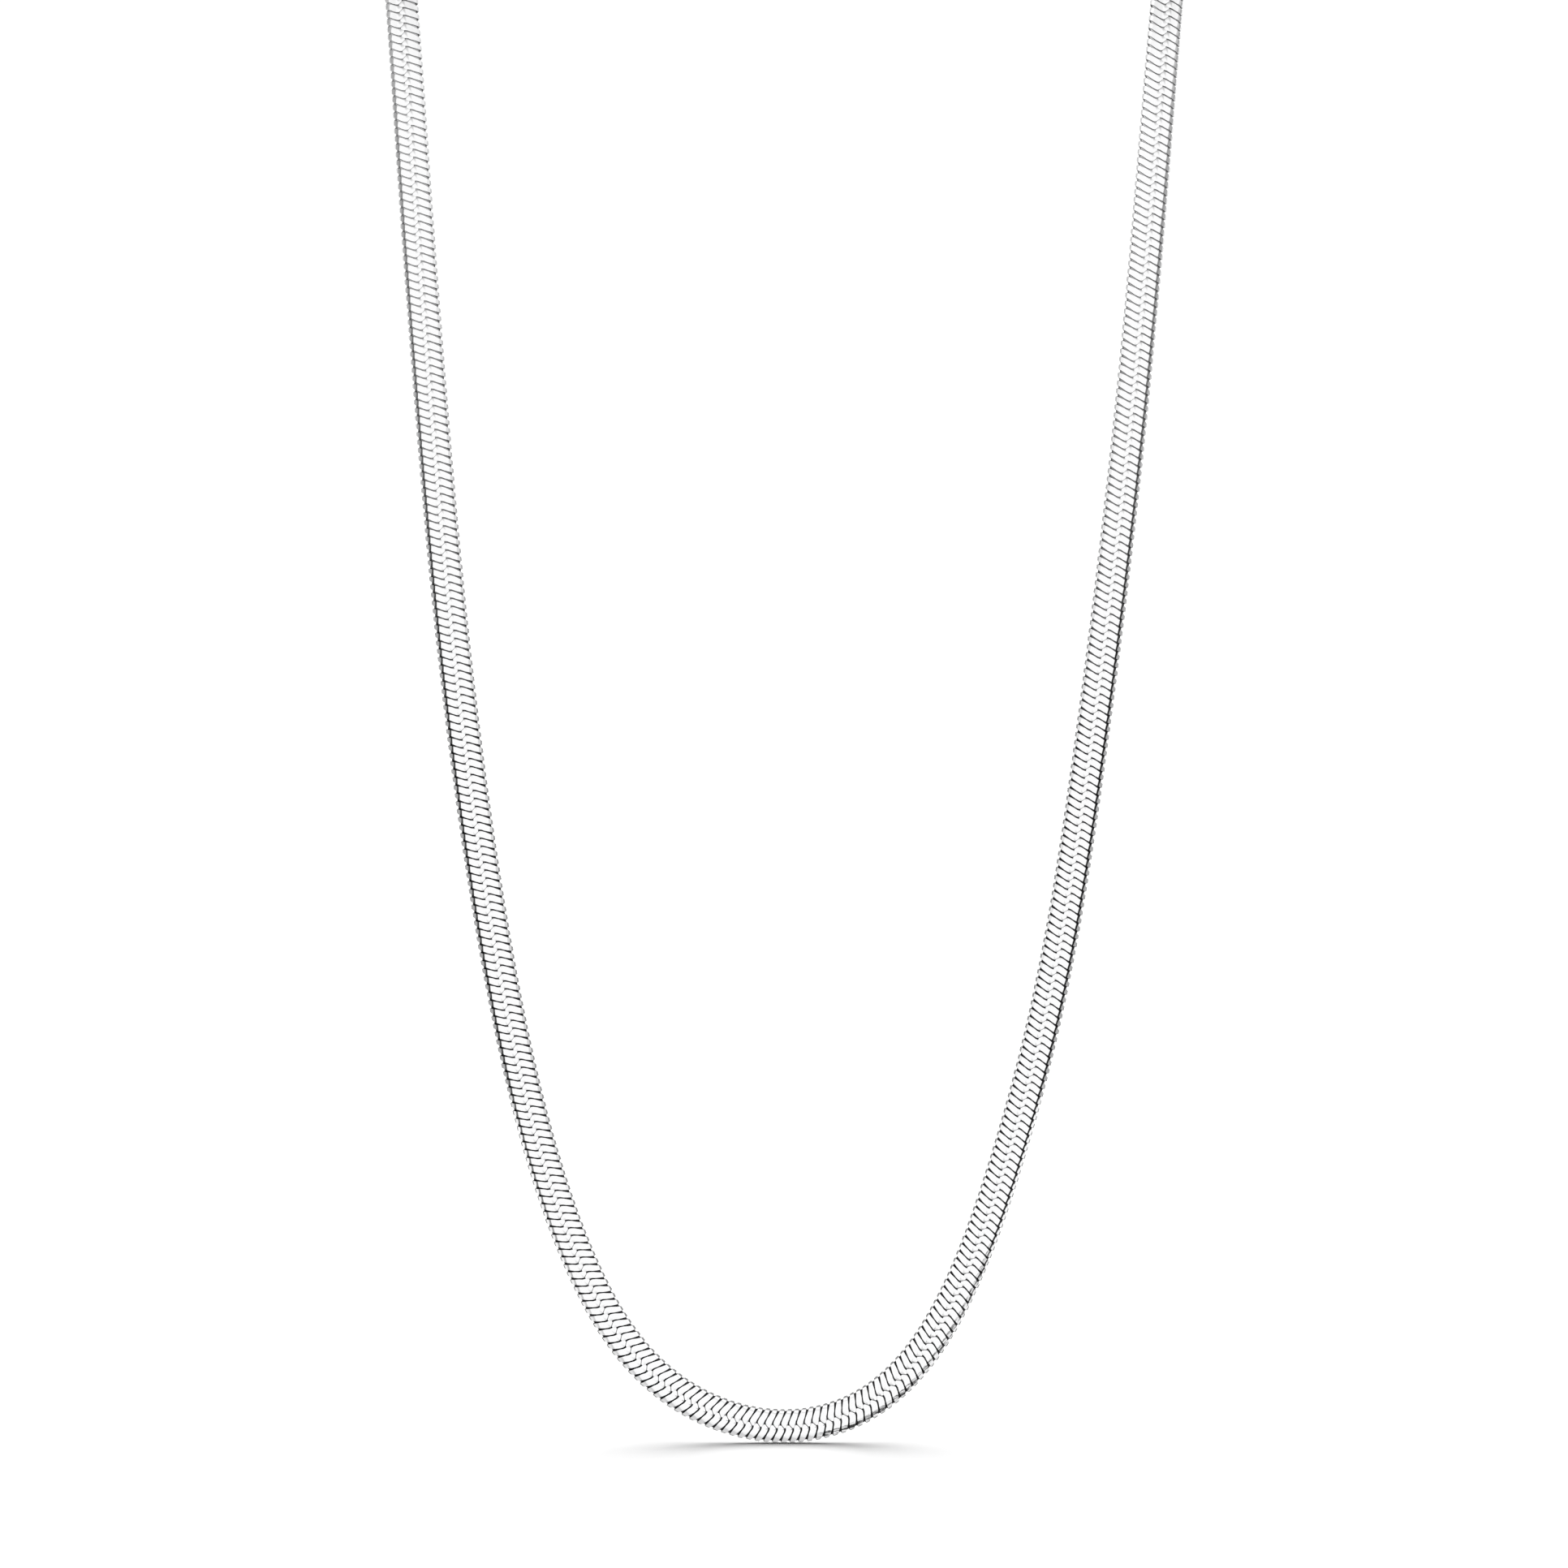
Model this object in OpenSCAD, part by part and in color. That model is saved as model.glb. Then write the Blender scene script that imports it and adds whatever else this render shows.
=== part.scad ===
// Flat chain necklace, closed at the nape, in the form it hangs in.
// +X is to the right seen from the front, +Y is to the back, +Z is up.
// The origin is where the clasp's inner face sits against the nape.

/* [Chain] */
// Width of the flat band of links
chain_w = 4; // [3.2:0.1:4.4]
// Thickness of the band at its rounded sides
chain_t = 1.3; // [1:0.1:1.6]
// How far each flat face swells out at its middle
chain_crown = 0.06; // [0:0.02:0.16]

/* [Clasp] */
// Length of the clasp along the chain
clasp_l = 17; // [15:0.5:20]
// Width of the clasp's body
clasp_w = 5.4; // [5.2:0.1:6.4]
// Thickness of the clasp's body, which sets how far the chain stands off the nape
clasp_t = 2.8; // [2.4:0.1:3.2]
// Length of the narrower sleeve at each end of the clasp
sleeve_l = 3.6; // [3:0.1:4]
// How much narrower and thinner the sleeve is than the body
sleeve_step = 0.4; // [0.2:0.1:0.4]
// Length of the rim round the mouth of each sleeve
rim_l = 0.8; // [0.5:0.1:1.2]

/* [Fit] */
// Clearance round the chain's end in its sleeve
socket_gap = 0.12; // [0.1:0.01:0.15]
// Slope of the chain at the nape, from upright, in degrees
nape_slope = 45; // [35:1:55]
// Rings of the band between two points of its route
rings_per_span = 4; // [3:1:5]

/* [Hidden] */
ROUND_FN = 48;

// Middle of the clasp: its inner face touches the origin
nape_out = [0, sin(nape_slope), cos(nape_slope)];
nape = nape_out * clasp_t / 2;

// The band's ends stop this far from the clasp's middle, a little off the socket's floor
chain_end = 6;
socket_floor = chain_end - socket_gap;

// Route of the band's middle line: control points of a smooth curve, and the side each stretch faces.
// It leaves the clasp to the left, comes over the left shoulder, hangs in front, and goes back round the right.
// Columns: x, y, z, and the direction that the flat face looks in.
X = 0;
OUT = 3;
BACK_LEFT = [
    [     8, nape.y,  nape.z,     0,    1,   1],
    [    -6, nape.y,  nape.z,     0,    1,   1],
    [   -20, nape.y,  nape.z,     0,    1,   1],
    [ -33.5,     -5,      -2, -0.35,  0.5,   1],
    [   -43,    -16,      -8,  -0.5,  0.1,   1],
    [ -46.5,  -30.5,   -13.5, -0.45, -0.3,   1],
    [-46.25,    -43,   -20.5,  -0.3, -0.8, 0.6],
];
FRONT_LEFT = [
    [-44.65,    -50,     -34, -0.15,   -1, 0.2],
    [-43.15,    -54,     -56, -0.08,   -1, 0.1],
    [ -41.4,    -57,     -78, -0.04,   -1, 0.1],
    [ -39.5,  -59.5,    -100,     0,   -1, 0.1],
    [ -37.3,  -60.5,    -120,     0,   -1,   0],
    [ -34.6, -61.25,    -139,     0,   -1,   0],
    [ -31.7, -61.75,    -155,     0,   -1,   0],
    [-28.25,    -62,    -169,     0,   -1,   0],
    [ -24.2,    -62,  -180.5,     0,   -1,   0],
    [ -19.6,    -62,  -189.5,     0,   -1,   0],
    [-13.75,    -62, -195.75,     0,   -1,   0],
    [    -7,    -62, -199.25,     0,   -1,   0],
];
LOWEST = [[0, -62, -200.5, 0, -1, 0]];
FRONT_RIGHT = [
    [     7,    -62, -199.25,     0,   -1,   0],
    [    13,    -62,  -195.5,     0,   -1,   0],
    [    18,    -62, -189.25,     0,   -1,   0],
    [  22.3,    -62, -180.25,     0,   -1,   0],
    [ 26.05,    -62,    -169,     0,   -1,   0],
    [ 29.95, -61.75,    -155,     0,   -1,   0],
    [ 33.15, -61.25,    -139,     0,   -1,   0],
    [ 35.85,  -60.5,    -120,     0,   -1,   0],
    [  38.4,  -59.5,    -100,     0,   -1, 0.1],
    [  40.9,    -57,     -78,  0.04,   -1, 0.1],
    [  42.9,    -54,     -56,  0.08,   -1, 0.1],
    [ 44.75,    -50,     -34,  0.15,   -1, 0.2],
];

// The back is the same on both sides
function mirrored(rows) = [for (i = [len(rows) - 1:-1:0])
    [for (k = [0:len(rows[i]) - 1]) (k == X || k == OUT) ? -rows[i][k] : rows[i][k]]];
ROUTE = concat(BACK_LEFT, FRONT_LEFT, LOWEST, FRONT_RIGHT, mirrored(BACK_LEFT));

// Uniform cubic spline: four neighbouring rows blended at t from 0 to 1, and its slope
function blend(t) = [(1 - t)^3, 3 * t^3 - 6 * t^2 + 4, -3 * t^3 + 3 * t^2 + 3 * t + 1, t^3] / 6;
function blend_slope(t) = [-(1 - t)^2, 3 * t^2 - 4 * t, -3 * t^2 + 2 * t + 1, t^2] / 2;
function four(i) = [for (k = [0:3]) ROUTE[i + k]];
function place(row) = [row[0], row[1], row[2]];
function outward(row) = [row[3], row[4], row[5]];
function unit(v) = v / norm(v);

// Frame at span i and t: middle, way along, way out of the flat face, and way across the band
function frame(i, t) =
    let (
        row = blend(t) * four(i),
        along = unit(place(blend_slope(t) * four(i))),
        out = unit(outward(row) - (outward(row) * along) * along)
    ) [place(row), out, cross(along, out)];

// Section of the band: rounded sides, flat faces with a slight swell at the middle.
// Each point is how far across and how far out.
SIDE_STEPS = 6;
function side(sign) = [for (k = [0:SIDE_STEPS])
    let (a = -90 + 180 * k / SIDE_STEPS)
    [sign * ((chain_w - chain_t) / 2 + chain_t / 2 * cos(a)), sign * chain_t / 2 * sin(a)]];
SECTION = concat(
    side(1), [[0, chain_t / 2 + chain_crown]],
    side(-1), [[0, -chain_t / 2 - chain_crown]]
);
SIDES = len(SECTION);

// One ring of points round the band
function ring(f) = [for (p = SECTION) f[0] + f[2] * p[0] + f[1] * p[1]];

module chain() {
    spans = len(ROUTE) - 3;
    last = spans * rings_per_span;
    rings = [for (r = [0:last])
        let (i = min(floor(r / rings_per_span), spans - 1))
        ring(frame(i, r / rings_per_span - i))];
    walls = [for (r = [0:last - 1], k = [0:SIDES - 1])
        let (a = r * SIDES + k, b = r * SIDES + (k + 1) % SIDES)
        each [[a, b, b + SIDES], [a, b + SIDES, a + SIDES]]];
    start_cap = [for (k = [SIDES - 1:-1:0]) k];
    end_cap = [for (k = [0:SIDES - 1]) last * SIDES + k];
    color([0.86, 0.86, 0.88])
        polyhedron([for (r = rings) each r], concat(walls, [start_cap, end_cap]));
}

// A bar with round sides, lying along X, centred
module pill(l, w, t) {
    rotate([90, 0, 90])
        linear_extrude(height = l, center = true) {
            square([w - t, t], center = true);
            for (s = [-1, 1])
                translate([s * (w - t) / 2, 0]) circle(d = t, $fn = ROUND_FN);
        }
}

module clasp() {
    body_l = clasp_l - 2 * sleeve_l;
    socket_l = clasp_l / 2 - socket_floor;
    color([0.84, 0.84, 0.86])
        translate(nape) rotate([-nape_slope, 0, 0])
            difference() {
                union() {
                    pill(body_l, clasp_w, clasp_t);
                    pill(clasp_l - rim_l, clasp_w - sleeve_step, clasp_t - sleeve_step);
                    for (s = [-1, 1])
                        translate([s * (clasp_l - rim_l) / 2, 0, 0])
                            pill(rim_l, clasp_w + sleeve_step / 2, clasp_t + sleeve_step / 2);
                }
                for (s = [-1, 1])
                    translate([s * (socket_floor + socket_l), 0, 0])
                        pill(2 * socket_l, chain_w + 2 * socket_gap, chain_t + 2 * (socket_gap + chain_crown));
            }
}

chain();
clasp();
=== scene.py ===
"""A flat snake chain necklace in polished silver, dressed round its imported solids.

The chain is made as a real one is: one bent link, repeated all along, and every second
link turned round, so that the pointed ends of the two rows meet in a zigzag down the
middle of both faces. Lengths are in metres.
"""

import logging
import math
from collections.abc import Callable, Iterator
from contextlib import contextmanager
from dataclasses import dataclass, field
from enum import Enum

import bmesh
import bpy
import numpy as np
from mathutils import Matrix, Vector


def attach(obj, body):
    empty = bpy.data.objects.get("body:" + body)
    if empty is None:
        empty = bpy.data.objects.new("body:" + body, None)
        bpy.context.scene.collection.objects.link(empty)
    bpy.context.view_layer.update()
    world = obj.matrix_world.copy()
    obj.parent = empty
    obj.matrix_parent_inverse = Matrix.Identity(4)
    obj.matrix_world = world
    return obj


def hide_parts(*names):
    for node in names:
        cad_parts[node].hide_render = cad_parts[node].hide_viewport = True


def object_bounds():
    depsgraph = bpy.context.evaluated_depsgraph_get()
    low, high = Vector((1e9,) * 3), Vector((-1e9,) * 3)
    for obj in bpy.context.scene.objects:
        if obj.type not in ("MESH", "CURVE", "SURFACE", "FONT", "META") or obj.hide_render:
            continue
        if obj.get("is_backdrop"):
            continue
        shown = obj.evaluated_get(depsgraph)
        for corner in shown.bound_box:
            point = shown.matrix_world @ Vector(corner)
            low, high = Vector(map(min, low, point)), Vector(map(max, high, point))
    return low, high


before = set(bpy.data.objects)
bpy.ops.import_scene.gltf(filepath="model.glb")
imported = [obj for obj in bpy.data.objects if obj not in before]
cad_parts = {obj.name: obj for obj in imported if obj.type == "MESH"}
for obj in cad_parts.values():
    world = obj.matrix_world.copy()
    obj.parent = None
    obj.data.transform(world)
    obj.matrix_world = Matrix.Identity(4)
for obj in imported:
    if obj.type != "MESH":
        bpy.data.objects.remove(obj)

LOG = logging.getLogger("necklace")
MM = 0.001
BODY = "root"
# Edges of the chain are shaded smooth below this angle
CHAIN_SMOOTH = math.radians(50)
# Least share of a normal along an axis, for a face that looks that way
FACING = 0.9
# Pairs of a height and its shade
Shades = tuple[tuple[float, float], ...]

CLASP_THICKNESS = 2.8 * MM
# Slope of the chain at the nape, from upright, and the way out from the nape
NAPE_SLOPE = math.radians(45)
NAPE_OUT = (0.0, math.sin(NAPE_SLOPE), math.cos(NAPE_SLOPE))
# Middle of the clasp: its inner face touches the origin
NAPE = tuple(CLASP_THICKNESS / 2 * way for way in NAPE_OUT)

# Middle line of the band, as in the part's source: x, y, z, and the way its flat face looks
BACK_LEFT = [
    (0.008, NAPE[1], NAPE[2], 0, 1, 1),
    (-0.006, NAPE[1], NAPE[2], 0, 1, 1),
    (-0.02, NAPE[1], NAPE[2], 0, 1, 1),
    (-0.0335, -0.005, -0.002, -0.35, 0.5, 1),
    (-0.043, -0.016, -0.008, -0.5, 0.1, 1),
    (-0.0465, -0.0305, -0.0135, -0.45, -0.3, 1),
    (-0.04625, -0.043, -0.0205, -0.3, -0.8, 0.6),
]
FRONT_LEFT = [
    (-0.04465, -0.05, -0.034, -0.15, -1, 0.2),
    (-0.04315, -0.054, -0.056, -0.08, -1, 0.1),
    (-0.0414, -0.057, -0.078, -0.04, -1, 0.1),
    (-0.0395, -0.0595, -0.1, 0, -1, 0.1),
    (-0.0373, -0.0605, -0.12, 0, -1, 0),
    (-0.0346, -0.06125, -0.139, 0, -1, 0),
    (-0.0317, -0.06175, -0.155, 0, -1, 0),
    (-0.02825, -0.062, -0.169, 0, -1, 0),
    (-0.0242, -0.062, -0.1805, 0, -1, 0),
    (-0.0196, -0.062, -0.1895, 0, -1, 0),
    (-0.01375, -0.062, -0.19575, 0, -1, 0),
    (-0.007, -0.062, -0.19925, 0, -1, 0),
]
LOWEST = [(0, -0.062, -0.2005, 0, -1, 0)]
FRONT_RIGHT = [
    (0.007, -0.062, -0.19925, 0, -1, 0),
    (0.013, -0.062, -0.1955, 0, -1, 0),
    (0.018, -0.062, -0.18925, 0, -1, 0),
    (0.0223, -0.062, -0.18025, 0, -1, 0),
    (0.02605, -0.062, -0.169, 0, -1, 0),
    (0.02995, -0.06175, -0.155, 0, -1, 0),
    (0.03315, -0.06125, -0.139, 0, -1, 0),
    (0.03585, -0.0605, -0.12, 0, -1, 0),
    (0.0384, -0.0595, -0.1, 0, -1, 0.1),
    (0.0409, -0.057, -0.078, 0.04, -1, 0.1),
    (0.0429, -0.054, -0.056, 0.08, -1, 0.1),
    (0.04475, -0.05, -0.034, 0.15, -1, 0.2),
]
BACK_RIGHT = [(-x, y, z, -face_x, *face_yz) for x, y, z, face_x, *face_yz in BACK_LEFT[::-1]]
ROUTE = BACK_LEFT + FRONT_LEFT + LOWEST + FRONT_RIGHT + BACK_RIGHT


# Helpers for modelling


def add(primitive: Callable, name: str, **settings: object) -> bpy.types.Object:
    """Adds a primitive at its size and place, which goes into its mesh.

    Args:
        primitive: The operator that adds it.
        name: The new object's name.
        settings: The operator's own settings.

    Returns:
        The new object, at the origin, unturned and unscaled.
    """
    bpy.ops.object.select_all(action="DESELECT")
    scale = settings.pop("scale", (1, 1, 1))
    primitive(**settings)
    made = bpy.context.object
    made.scale = scale
    bpy.ops.object.transform_apply(location=True, rotation=True, scale=True)
    made.name = name
    made.data.name = name
    return made


@contextmanager
def editing(piece: bpy.types.Object) -> Iterator[None]:
    """Keeps piece in edit mode, alone in the selection, while the block runs.

    Args:
        piece: The mesh object to edit.

    Returns:
        A context for a with block.
    """
    bpy.ops.object.select_all(action="DESELECT")
    piece.select_set(True)
    bpy.context.view_layer.objects.active = piece
    bpy.ops.object.mode_set(mode="EDIT")
    try:
        yield
    finally:
        bpy.ops.object.mode_set(mode="OBJECT")


def pick_points(piece: bpy.types.Object, test: Callable[[Vector], bool]) -> None:
    """Selects the points of the mesh in edit mode that pass a test of their place.

    Args:
        piece: The object in edit mode.
        test: Says whether a place counts.
    """
    bpy.ops.mesh.select_mode(type="VERT")
    mesh = bmesh.from_edit_mesh(piece.data)
    for point in mesh.verts:
        point.select_set(test(point.co))
    mesh.select_flush_mode()
    bmesh.update_edit_mesh(piece.data)


def pick_edges(piece: bpy.types.Object, test: Callable[[Vector, Vector], bool]) -> None:
    """Selects the edges of the mesh in edit mode whose two ends pass a test.

    Args:
        piece: The object in edit mode.
        test: Says whether an edge between two places counts.
    """
    bpy.ops.mesh.select_mode(type="EDGE")
    bpy.ops.mesh.select_all(action="DESELECT")
    mesh = bmesh.from_edit_mesh(piece.data)
    for edge in mesh.edges:
        edge.select_set(test(edge.verts[0].co, edge.verts[1].co))
    bmesh.update_edit_mesh(piece.data)


def pick_faces(piece: bpy.types.Object, test: Callable[[Vector, Vector], bool]) -> None:
    """Selects the faces of the mesh in edit mode by their middle and normal.

    Args:
        piece: The object in edit mode.
        test: Says whether a face with that middle and normal counts.
    """
    bpy.ops.mesh.select_mode(type="FACE")
    bpy.ops.mesh.select_all(action="DESELECT")
    mesh = bmesh.from_edit_mesh(piece.data)
    for face in mesh.faces:
        face.select_set(test(face.calc_center_median(), face.normal))
    bmesh.update_edit_mesh(piece.data)


def apply_modifier(piece: bpy.types.Object, kind: str, **settings: object) -> None:
    """Puts a modifier on piece and applies it.

    Args:
        piece: The mesh object.
        kind: The modifier's type.
        settings: The modifier's own settings.
    """
    bpy.ops.object.select_all(action="DESELECT")
    piece.select_set(True)
    bpy.context.view_layer.objects.active = piece
    modifier = piece.modifiers.new(kind.lower(), kind)
    for name, value in settings.items():
        setattr(modifier, name, value)
    bpy.ops.object.modifier_apply(modifier=modifier.name)


def part_halves(bar: bpy.types.Object, sides: int, aside: float) -> None:
    """Turns a round bar along X into a flat one with round sides, by parting its halves.

    Args:
        bar: The bar in edit mode.
        sides: How many sides it has.
        aside: How far each half moves along Y.
    """
    bpy.ops.mesh.select_all(action="SELECT")
    bpy.ops.transform.rotate(value=math.pi / sides, orient_axis="X", center_override=(0, 0, 0))
    for way in (-1, 1):
        pick_points(bar, lambda p: p.y * way > 0)
        bpy.ops.transform.translate(value=(0, way * aside, 0))


def points_of(piece: bpy.types.Object) -> np.ndarray:
    """Gives the places of a mesh's points.

    Args:
        piece: The mesh object.

    Returns:
        A row of x, y and z for each point.
    """
    flat = np.zeros(len(piece.data.vertices) * 3)
    piece.data.vertices.foreach_get("co", flat)
    return flat.reshape(-1, 3)


def put_points(piece: bpy.types.Object, places: np.ndarray) -> None:
    """Moves a mesh's points to new places and turns its faces outwards.

    Args:
        piece: The mesh object.
        places: A row of x, y and z for each point.
    """
    piece.data.vertices.foreach_set("co", places.astype(np.float32).ravel())
    piece.data.update()
    with editing(piece):
        bpy.ops.mesh.select_all(action="SELECT")
        bpy.ops.mesh.normals_make_consistent(inside=False)


def write_attribute(piece: bpy.types.Object, name: str, values: np.ndarray) -> None:
    """Stores a number for each point of a mesh.

    Args:
        piece: The mesh object.
        name: The attribute's name.
        values: A number for each point.
    """
    attribute = piece.data.attributes.new(name, "FLOAT", "POINT")
    attribute.data.foreach_set("value", values.astype(np.float32))


def read_attribute(piece: bpy.types.Object, name: str) -> np.ndarray:
    """Gives the numbers that write_attribute stored.

    Args:
        piece: The mesh object.
        name: The attribute's name.

    Returns:
        A number for each point.
    """
    values = np.zeros(len(piece.data.vertices), np.float32)
    piece.data.attributes[name].data.foreach_get("value", values)
    return values.astype(float)


# The band's line and section


@dataclass(frozen=True)
class Frames:
    """Places along the route, three directions at each, and how sharply the line bends there.

    Each field has a row for each place. Bend points to the inside of the bend.
    """

    place: np.ndarray
    along: np.ndarray
    out: np.ndarray
    across: np.ndarray
    bend: np.ndarray


class Route:
    """The band's middle line, a uniform cubic spline, measured by its own length."""

    STEPS_PER_SPAN = 200

    def __init__(self, rows: list[tuple[float, ...]]) -> None:
        """Measures the line.

        Args:
            rows: Control points, each with the way that the flat face looks there.
        """
        self.rows = np.array(rows, float)
        self.spans = len(rows) - 3
        self.turns = np.linspace(0, self.spans, self.spans * self.STEPS_PER_SPAN + 1)
        place, along = self._curve(self.turns)[:2]
        steps = np.linalg.norm(np.diff(place, axis=0), axis=1)
        self.marks = np.concatenate([[0], np.cumsum(steps)])
        self.length = float(self.marks[-1])
        self.bends = np.gradient(along, self.marks, axis=0)

    def _curve(self, turns: np.ndarray) -> tuple[np.ndarray, np.ndarray, np.ndarray]:
        """Gives place, direction and outward side at spline parameters.

        Args:
            turns: Parameters, counted in spans.

        Returns:
            Places, unit directions and outward sides, a row for each parameter.
        """
        span = np.minimum(turns.astype(int), self.spans - 1)
        t = turns - span
        near = self.rows[span[:, None] + np.arange(4)]
        blend = np.stack(
            [(1 - t) ** 3, 3 * t**3 - 6 * t**2 + 4, -3 * t**3 + 3 * t**2 + 3 * t + 1, t**3], 1
        )
        slope = np.stack([-((1 - t) ** 2), 3 * t**2 - 4 * t, -3 * t**2 + 2 * t + 1, t**2], 1)
        mixed = np.einsum("nk,nkc->nc", blend / 6, near)
        along = np.einsum("nk,nkc->nc", slope / 2, near[:, :, :3])
        return mixed[:, :3], along / np.linalg.norm(along, axis=1, keepdims=True), mixed[:, 3:]

    def frames(self, distance: np.ndarray) -> Frames:
        """Gives the place and directions at distances along the line.

        Args:
            distance: Distances from the line's start.

        Returns:
            The frames there. The side named across is the outer side of the loop.
        """
        place, along, face = self._curve(np.interp(distance, self.marks, self.turns))
        out = face - np.sum(face * along, axis=1, keepdims=True) * along
        out /= np.linalg.norm(out, axis=1, keepdims=True)
        bend = np.stack([np.interp(distance, self.marks, self.bends[:, k]) for k in range(3)], 1)
        return Frames(place, along, out, np.cross(along, out), bend)

    def carry(self, distance: np.ndarray, across: np.ndarray, out: np.ndarray) -> np.ndarray:
        """Carries points from the straight band onto the line.

        Args:
            distance: How far along each point is.
            across: How far towards the outer side of the loop.
            out: How far out of the flat face.

        Returns:
            Their places, a row for each point.
        """
        at = self.frames(distance)
        return at.place + at.across * across[:, None] + at.out * out[:, None]


@dataclass(frozen=True)
class Section:
    """The band's section: two flat faces with a slight swell, and two round sides."""

    width: float = 4 * MM
    thickness: float = 1.3 * MM
    crown: float = 0.06 * MM

    @property
    def radius(self) -> float:
        """Radius of a round side."""
        return self.thickness / 2

    @property
    def flat(self) -> float:
        """Half the width of a flat face."""
        return (self.width - self.thickness) / 2

    @property
    def half_way(self) -> float:
        """Way from the middle of the front, round one side, to the middle of the back."""
        return 2 * self.flat + math.pi * self.radius

    def wrap(self, way: np.ndarray, height: np.ndarray) -> tuple[np.ndarray, np.ndarray]:
        """Wraps points of a flat strip round one side of the band.

        Args:
            way: Distance round the section from the middle of the front.
            height: Distance outside the section's outline.

        Returns:
            How far across and how far out each point lies.
        """
        turn = np.clip((way - self.flat) / self.radius, 0, math.pi)
        on_front = np.minimum(way - self.flat, 0)
        past_side = np.maximum(way - self.flat - math.pi * self.radius, 0)
        across = self.flat + on_front - past_side + (self.radius + height) * np.sin(turn)
        swell = self.crown * np.clip(1 - (across / self.flat) ** 2, 0, 1)
        return across, np.cos(turn) * (self.radius + height + swell)


# The links


@dataclass(frozen=True)
class Station:
    """A place on a link's bar: its way round the band, and its two edges along the chain.

    The top is drawn in to the share crest of the width, and the bevel's lower line sinks by drop.
    """

    way: float
    rear: float
    front: float
    crest: float = 1.0
    drop: float = 0.0

    @property
    def ahead(self) -> float:
        """Middle of the bar."""
        return (self.front + self.rear) / 2

    @property
    def width(self) -> float:
        """Width of the bar."""
        return self.front - self.rear


class Row(Enum):
    """The two rows of links: the value is the side of the band that a row goes round."""

    OUTER = 1
    INNER = -1


@dataclass
class Links:
    """The bent links of the chain: one is modelled, repeated in a row and laid along the route.

    Depth is how thick a link is, edge the width of its bevels and face_drop how far these sink
    or rise on the flat face. Tilt is how unevenly the links lie. Shift is the share of a pitch
    by which a row is moved, and lead is how many links run past each end before the trim.
    """

    route: Route
    section: Section
    finish: "Silver"
    pitch_wanted: float = 0.94 * MM
    depth: float = 0.25 * MM
    skin: float = 0.015 * MM
    edge: float = 0.03 * MM
    face_drop: float = 0.015 * MM
    tilt: float = 0.010
    keeping: float = 0.35
    opening: float = 0.3 * MM
    parting: float = 0.0006 * MM
    seed: int = 4
    shift: float = 0.25
    lead: int = 2
    pitch: float = field(init=False)
    count: int = field(init=False)

    def __post_init__(self) -> None:
        """Fits a whole number of links into the route."""
        self.count = round(self.route.length / self.pitch_wanted)
        self.pitch = self.route.length / self.count

    def _middle(self, link: float | np.ndarray) -> float | np.ndarray:
        """Gives the middle of a link on the straight band, by its number in the row."""
        return (self.shift - self.lead + link) * self.pitch

    def _bar(
        self, way: float, ahead: float, gap: float, crest: float = 1.0, drop: float = 0.0
    ) -> Station:
        """Gives a station where the bar leaves a gap to the next one of its row.

        Args:
            way: Way round the band.
            ahead: Middle of the bar.
            gap: Gap between two bars.
            crest: Share of the width that is left on top.
            drop: How far the bevel's lower line sinks.

        Returns:
            The station.
        """
        half = (self.pitch - gap) / 2
        return Station(way, ahead - half, ahead + half, crest, drop)

    def stations(self) -> list[Station]:
        """Gives the outline of a bar.

        Returns:
            Its stations, from the tip on the front to the tip on the back.
        """
        flat = self.section.flat
        turn = math.pi * self.section.radius / 4
        low = self.face_drop
        half = [
            Station(-0.18 * MM, -0.13 * MM, 0.06 * MM, drop=-low),
            Station(0.14 * MM, -0.355 * MM, 0.35 * MM, drop=-low),
            self._bar(0.29 * MM, 0.045 * MM, 0.16 * MM, drop=low),
            self._bar(0.56 * MM, -0.01 * MM, 0.13 * MM, drop=low),
            self._bar(0.95 * MM, -0.185 * MM, 0.09 * MM, drop=low),
            self._bar(flat, -0.37 * MM, 0.16 * MM, 0.97, 0.03 * MM),
            self._bar(flat + turn, -0.59 * MM, 0.23 * MM, 0.88, 0.08 * MM),
        ]
        middle = [self._bar(flat + 2 * turn, -0.67 * MM, 0.34 * MM, 0.8, 0.11 * MM)]
        whole = self.section.half_way
        back = [Station(whole - s.way, s.rear, s.front, s.crest, s.drop) for s in reversed(half)]
        return half + middle + back

    def model_link(self) -> bpy.types.Object:
        """Models one link, unrolled: x is along the chain, y is the way round, z is the height.

        Returns:
            The link, a closed bar with its upper edges bevelled.
        """
        stations = self.stations()
        first = stations[0]
        link = add(
            bpy.ops.mesh.primitive_plane_add,
            "link",
            size=1,
            location=(first.ahead, first.way, -self.depth / 2),
            rotation=(math.pi / 2, 0, 0),
            scale=(first.width, self.depth, 1),
        )
        with editing(link):
            bpy.ops.mesh.select_all(action="SELECT")
            for here, there in zip(stations, stations[1:]):
                step = (there.ahead - here.ahead, there.way - here.way, 0)
                bpy.ops.mesh.extrude_region_move(TRANSFORM_OT_translate={"value": step})
                bpy.ops.transform.resize(
                    value=(there.width / here.width, 1, 1),
                    center_override=(there.ahead, there.way, 0),
                )
            top, short = -self.edge / 2, self.edge
            pick_edges(link, lambda a, b: min(a.z, b.z) > top and abs(a.y - b.y) > short)
            bpy.ops.mesh.bevel(offset=self.edge, segments=1, affect="EDGES", clamp_overlap=False)
            for station in stations:
                self._round(link, station)
            bpy.ops.mesh.select_all(action="SELECT")
            bpy.ops.mesh.normals_make_consistent(inside=False)
        bpy.ops.object.shade_smooth_by_angle(angle=CHAIN_SMOOTH)
        return link

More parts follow.
